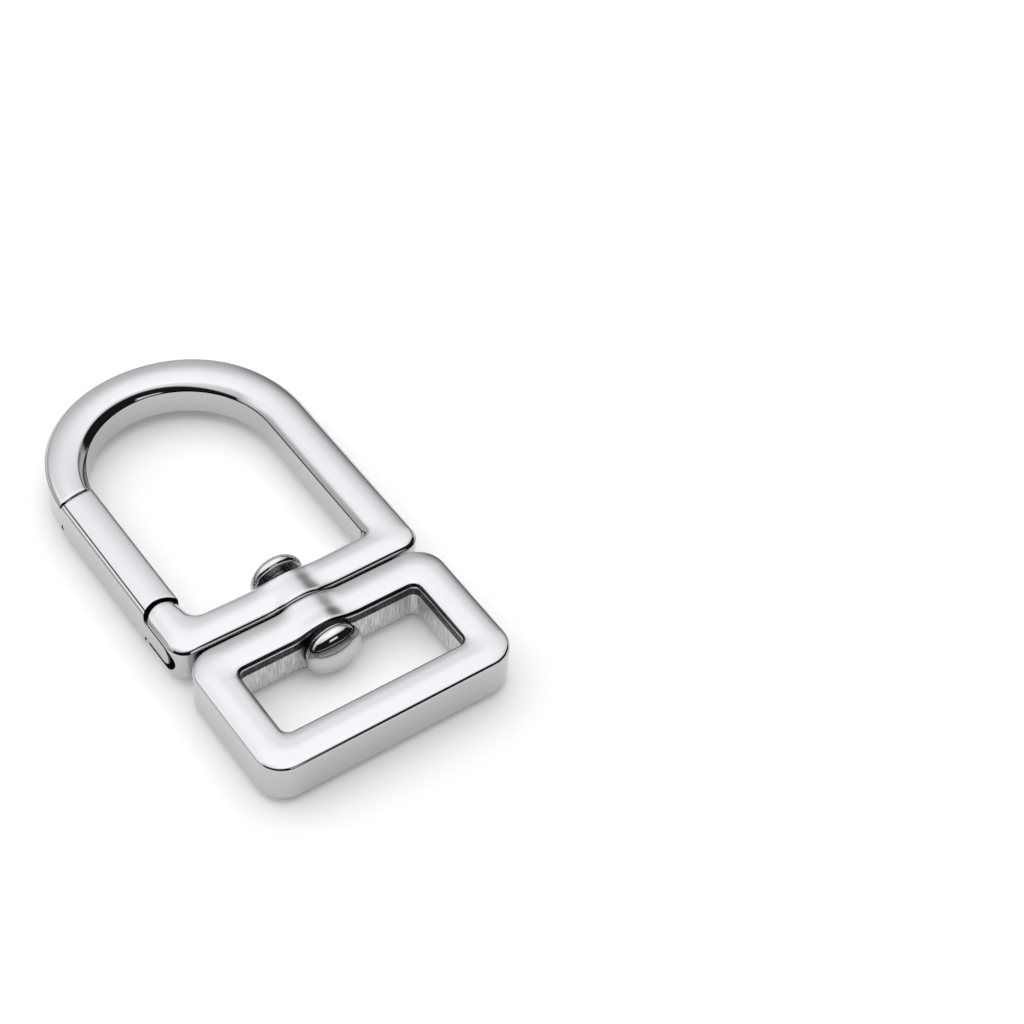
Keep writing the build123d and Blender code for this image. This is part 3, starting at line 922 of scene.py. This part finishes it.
def buildWorld(settings):
    world = bpy.data.worlds.new("tent")
    bpy.context.scene.world = world
    world.use_nodes = True
    nodes, links = world.node_tree.nodes, world.node_tree.links
    nodes.clear()

    def mathNode(operation, first, second):
        node = nodes.new("ShaderNodeMath")
        node.operation = operation
        for socket, value in zip(node.inputs, (first, second)):
            if isinstance(value, (int, float)):
                socket.default_value = value
            else:
                links.new(value, socket)
        return node.outputs["Value"]

    def ease(value, low, high):
        node = nodes.new("ShaderNodeMapRange")
        node.interpolation_type = "SMOOTHSTEP"
        node.inputs["From Min"].default_value = low
        node.inputs["From Max"].default_value = high
        links.new(value, node.inputs["Value"])
        return node.outputs["Result"]

    direction = nodes.new("ShaderNodeTexCoord").outputs["Generated"]
    split = nodes.new("ShaderNodeSeparateXYZ")
    links.new(direction, split.inputs["Vector"])
    height = split.outputs["Z"]
    level = mathNode("SQRT", mathNode("SUBTRACT", 1.0, mathNode("MULTIPLY", height, height)), 0.0)

    # Cosine of the angle between a direction's azimuth and a given one
    def along(azimuth):
        node = nodes.new("ShaderNodeVectorMath")
        node.operation = "DOT_PRODUCT"
        turn = math.radians(azimuth)
        node.inputs[1].default_value = (math.cos(turn), math.sin(turn), 0)
        links.new(direction, node.inputs[0])
        return mathNode("DIVIDE", node.outputs["Value"], level)

    def mixed(factor, first, color):
        node = nodes.new("ShaderNodeMix")
        node.data_type = "RGBA"
        node.inputs["B"].default_value = (*color, 1)
        links.new(factor, node.inputs["Factor"])
        links.new(first, node.inputs["A"])
        return node.outputs["Result"]

    tent = nodes.new("ShaderNodeValToRGB")
    ramp = tent.color_ramp
    stops = settings["tentStops"]
    for element, stop in zip(ramp.elements, (stops[0], stops[-1])):
        element.position, element.color = stop[0], (stop[1],) * 3 + (1,)
    for position, shade in stops[1:-1]:
        ramp.elements.new(position).color = (shade, shade, shade, 1)
    links.new(height, tent.inputs["Fac"])
    color = tent.outputs["Color"]
    for patch in settings["patches"]:
        side, place = along(patch["azimuth"]), height
        if "slope" in patch:  # the patch's edge falls away to its sides
            fall = mathNode("MULTIPLY", mathNode("SUBTRACT", 1.0, side), patch["slope"])
            place = mathNode("ADD", height, fall)
        mask = mathNode("MULTIPLY", ease(side, *patch["side"]), ease(place, *patch["height"]))
        if "upper" in patch:
            mask = mathNode("MULTIPLY", mask, ease(height, *patch["upper"]))
        color = mixed(mask, color, patch["color"])
    tentLight = nodes.new("ShaderNodeBackground")
    tentLight.inputs["Strength"].default_value = settings["tentStrength"]
    links.new(color, tentLight.inputs["Color"])
    output = nodes.new("ShaderNodeOutputWorld")
    links.new(tentLight.outputs["Background"], output.inputs["Surface"])


buildFloor(studio)
buildWorld(studio)
bpy.context.scene.view_settings.view_transform = "Standard"
print("stage: studio built")

# Camera: place, target and turn about its own axis, fitted to the photograph's edges
cameraSettings = {
    "place": (-78.80, -137.87, 185.90), "target": (26.22, -7.83, 0.0), "rollDegrees": 4.88,
    "lens": 85.85, "sensor": 36.0, "clip": (0.01, 20.0),
}


def buildCamera(settings):
    data = bpy.data.cameras.new("camera")
    data.sensor_width = settings["sensor"]
    data.lens = settings["lens"]
    data.clip_start, data.clip_end = settings["clip"]
    camera = bpy.data.objects.new("camera", data)
    bpy.context.scene.collection.objects.link(camera)
    place = Vector(settings["place"]) / metre
    forward = (Vector(settings["target"]) / metre - place).normalized()
    right = forward.cross(Vector((0, 0, 1))).normalized()
    up = right.cross(forward)
    roll = math.radians(settings["rollDegrees"])
    turnedRight = math.cos(roll) * right + math.sin(roll) * up
    turnedUp = math.cos(roll) * up - math.sin(roll) * right
    matrix = Matrix((turnedRight, turnedUp, -forward)).transposed().to_4x4()
    matrix.translation = place
    camera.matrix_world = matrix
    bpy.context.scene.camera = camera


buildCamera(cameraSettings)
print("stage: camera set")
